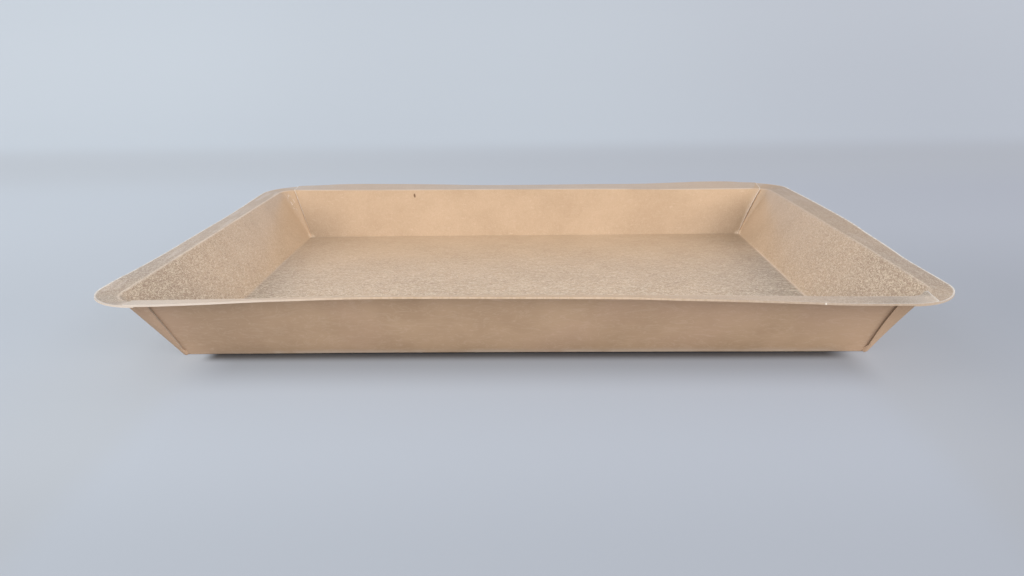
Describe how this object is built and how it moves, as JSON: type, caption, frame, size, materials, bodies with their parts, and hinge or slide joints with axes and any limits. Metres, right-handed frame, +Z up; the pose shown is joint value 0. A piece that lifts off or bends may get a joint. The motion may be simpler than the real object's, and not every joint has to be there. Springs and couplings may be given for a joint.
{
  "type": "kraft paper food tray",
  "caption": "Shallow rectangular kraft paperboard food tray with a flat floor, leaning walls, lapped rounded corners and an outward sealing flange round the rim.",
  "frame": {"origin": "centre of the floor panel's underside, on the table", "axes": "+X along the length, +Y towards the back long wall, +Z up out of the open top"},
  "size_m": [0.227, 0.178, 0.0216],
  "materials": {
    "kraft_board": "brown kraft board: satin film-laminated inside, plain matt outside, pale cut edges"
  },
  "bodies": {
    "root": {"tray": "kraft_board"}
  },
  "joints": []
}
